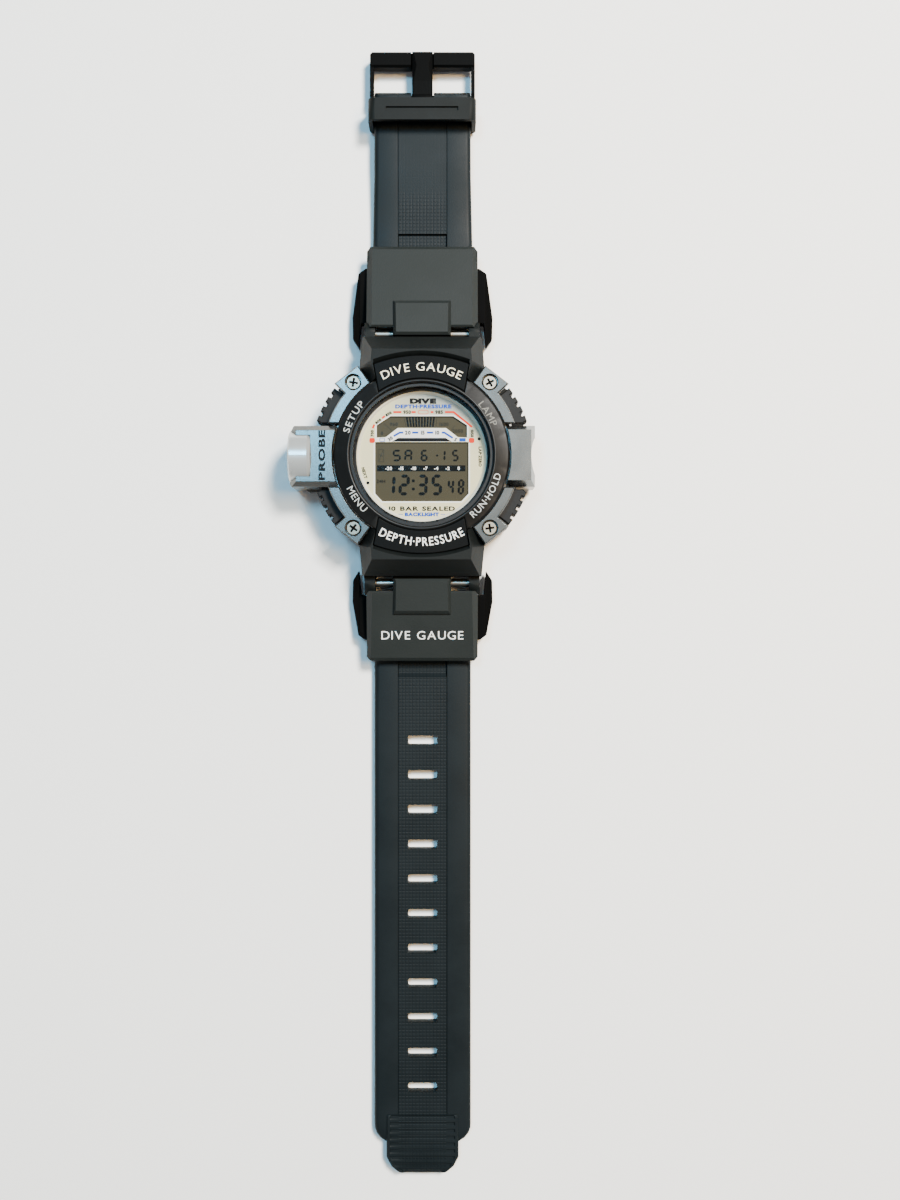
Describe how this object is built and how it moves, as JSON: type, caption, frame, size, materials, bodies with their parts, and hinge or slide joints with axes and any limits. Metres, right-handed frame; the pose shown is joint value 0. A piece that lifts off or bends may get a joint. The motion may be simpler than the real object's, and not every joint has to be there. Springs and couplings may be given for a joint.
{
  "type": "dive computer",
  "caption": "Wrist dive computer with digital dial, knurled side buttons, side pressure sensor and open resin strap with slots, buckle and keeper.",
  "frame": {"origin": "centre of the flat face of the case back, which the instrument rests on", "axes": "+X to 3 o'clock, +Y to 12 o'clock and the buckle, +Z out of the dial"},
  "size_m": [0.0539, 0.2532, 0.0149],
  "materials": {
    "black_resin": "moulded, matte",
    "back_steel": "brushed",
    "seal_rubber": "smooth",
    "screw_steel": "turned, polished",
    "silver_plate": "satin silver",
    "panel_black": "matte with white print",
    "sensor_steel": "satin",
    "mineral_glass": "polished",
    "dial_cream": "printed, satin",
    "lcd_glass": "satin",
    "backlight": "satin",
    "board_green": "lacquered",
    "frame_plastic": "moulded",
    "cell_steel": "bright",
    "buzzer_brass": "bright",
    "button_rubber": "matte",
    "pin_steel": "bright",
    "link_resin": "moulded, matte",
    "wing_resin": "matte",
    "strap_resin": "matte with fine grain",
    "buckle_resin": "moulded, matte"
  },
  "bodies": {
    "case": {"case_body": "black_resin", "case_back": "back_steel", "back_gasket": "seal_rubber", "back_screws": "screw_steel", "left_bezel_plate": "silver_plate", "right_bezel_plate": "silver_plate", "bezel_ring": "black_resin", "top_panel": "panel_black", "bottom_panel": "panel_black", "bezel_screws": "screw_steel", "sensor_housing": "silver_plate", "sensor_cap": "silver_plate", "pressure_sensor": "sensor_steel", "side_guard": "silver_plate", "crystal": "mineral_glass", "crystal_gasket": "seal_rubber", "inner_ring": "seal_rubber", "dial_plate": "dial_cream", "lcd_panel": "lcd_glass", "backlight_panel": "backlight", "contact_strips": "seal_rubber", "circuit_board": "board_green", "module_frame": "frame_plastic", "coin_cell": "cell_steel", "cell_clamp": "sensor_steel", "buzzer": "buzzer_brass", "switch_contacts": "buzzer_brass", "button_seals": "seal_rubber", "lug_pin_12": "pin_steel", "lug_pin_6": "pin_steel"},
    "button_upper_right": {"button_cap_upper_right": "button_rubber", "button_stem_upper_right": "pin_steel", "button_spring_upper_right": "pin_steel"},
    "button_upper_left": {"button_cap_upper_left": "button_rubber", "button_stem_upper_left": "pin_steel", "button_spring_upper_left": "pin_steel"},
    "button_lower_right": {"button_cap_lower_right": "button_rubber", "button_stem_lower_right": "pin_steel", "button_spring_lower_right": "pin_steel"},
    "button_lower_left": {"button_cap_lower_left": "button_rubber", "button_stem_lower_left": "pin_steel", "button_spring_lower_left": "pin_steel"},
    "link_12": {"link_12": "link_resin", "wing_12": "wing_resin", "strap_pin_12": "pin_steel"},
    "link_6": {"link_6": "link_resin", "wing_6": "wing_resin", "strap_pin_6": "pin_steel"},
    "upper_strap_near": {"upper_strap_1": "strap_resin"},
    "upper_strap_far": {"upper_strap_2": "strap_resin", "buckle_pin": "pin_steel"},
    "lower_strap_near": {"lower_strap_1": "strap_resin"},
    "lower_strap_second": {"lower_strap_2": "strap_resin"},
    "lower_strap_third": {"lower_strap_3": "strap_resin"},
    "lower_strap_fourth": {"lower_strap_4": "strap_resin"},
    "lower_strap_end": {"lower_strap_5": "strap_resin"},
    "buckle_frame": {"buckle_frame": "buckle_resin"},
    "buckle_tang": {"buckle_tang": "buckle_resin"},
    "keeper_loop": {"keeper_loop": "link_resin"}
  },
  "joints": [
    {"name": "press_upper_right", "type": "slide", "parent": "case", "child": "button_upper_right", "axis": [-1, 0, 0], "range_m": [0, 0.0008], "stiffness_N_per_m": 900, "springref_m": -0.0008, "deforming": ["button_spring_upper_right"]},
    {"name": "press_upper_left", "type": "slide", "parent": "case", "child": "button_upper_left", "axis": [1, 0, 0], "range_m": [0, 0.0008], "stiffness_N_per_m": 900, "springref_m": -0.0008, "deforming": ["button_spring_upper_left"]},
    {"name": "press_lower_right", "type": "slide", "parent": "case", "child": "button_lower_right", "axis": [-1, 0, 0], "range_m": [0, 0.0008], "stiffness_N_per_m": 900, "springref_m": -0.0008, "deforming": ["button_spring_lower_right"]},
    {"name": "press_lower_left", "type": "slide", "parent": "case", "child": "button_lower_left", "axis": [1, 0, 0], "range_m": [0, 0.0008], "stiffness_N_per_m": 900, "springref_m": -0.0008, "deforming": ["button_spring_lower_left"]},
    {"name": "lug_hinge_12", "type": "hinge", "parent": "case", "child": "link_12", "pos_m": [0, 0.0278, 0.0052], "axis": [-1, 0, 0], "range_deg": [-4, 35]},
    {"name": "lug_hinge_6", "type": "hinge", "parent": "case", "child": "link_6", "pos_m": [0, -0.0278, 0.0052], "axis": [1, 0, 0], "range_deg": [-4, 35]},
    {"name": "strap_hinge_12", "type": "hinge", "parent": "link_12", "child": "upper_strap_near", "pos_m": [0, 0.0448, 0.0035], "axis": [-1, 0, 0], "range_deg": [-8, 45]},
    {"name": "strap_hinge_6", "type": "hinge", "parent": "link_6", "child": "lower_strap_near", "pos_m": [0, -0.0426, 0.0035], "axis": [1, 0, 0], "range_deg": [-8, 45]},
    {"name": "upper_flex", "type": "hinge", "parent": "upper_strap_near", "child": "upper_strap_far", "pos_m": [0, 0.064, 0.0015], "axis": [-1, 0, 0], "range_deg": [0, 28], "stiffness_Nm_per_rad": 0.03},
    {"name": "lower_flex_1", "type": "hinge", "parent": "lower_strap_near", "child": "lower_strap_second", "pos_m": [0, -0.0672, 0], "axis": [1, 0, 0], "range_deg": [0, 28], "stiffness_Nm_per_rad": 0.03},
    {"name": "lower_flex_2", "type": "hinge", "parent": "lower_strap_second", "child": "lower_strap_third", "pos_m": [0, -0.0908, 0], "axis": [1, 0, 0], "range_deg": [0, 28], "stiffness_Nm_per_rad": 0.03},
    {"name": "lower_flex_3", "type": "hinge", "parent": "lower_strap_third", "child": "lower_strap_fourth", "pos_m": [0, -0.1143, 0], "axis": [1, 0, 0], "range_deg": [0, 28], "stiffness_Nm_per_rad": 0.03},
    {"name": "lower_flex_4", "type": "hinge", "parent": "lower_strap_fourth", "child": "lower_strap_end", "pos_m": [0, -0.1379, 0], "axis": [1, 0, 0], "range_deg": [0, 28], "stiffness_Nm_per_rad": 0.03},
    {"name": "buckle_hinge", "type": "hinge", "parent": "upper_strap_far", "child": "buckle_frame", "pos_m": [0, 0.0814, 0.0029], "axis": [-1, 0, 0], "range_deg": [0, 50]},
    {"name": "tang_hinge", "type": "hinge", "parent": "upper_strap_far", "child": "buckle_tang", "pos_m": [0, 0.0814, 0.0029], "axis": [1, 0, 0], "range_deg": [0, 80]},
    {"name": "keeper_slide", "type": "slide", "parent": "upper_strap_far", "child": "keeper_loop", "axis": [0, -1, 0], "range_m": [0, 0.008]}
  ]
}
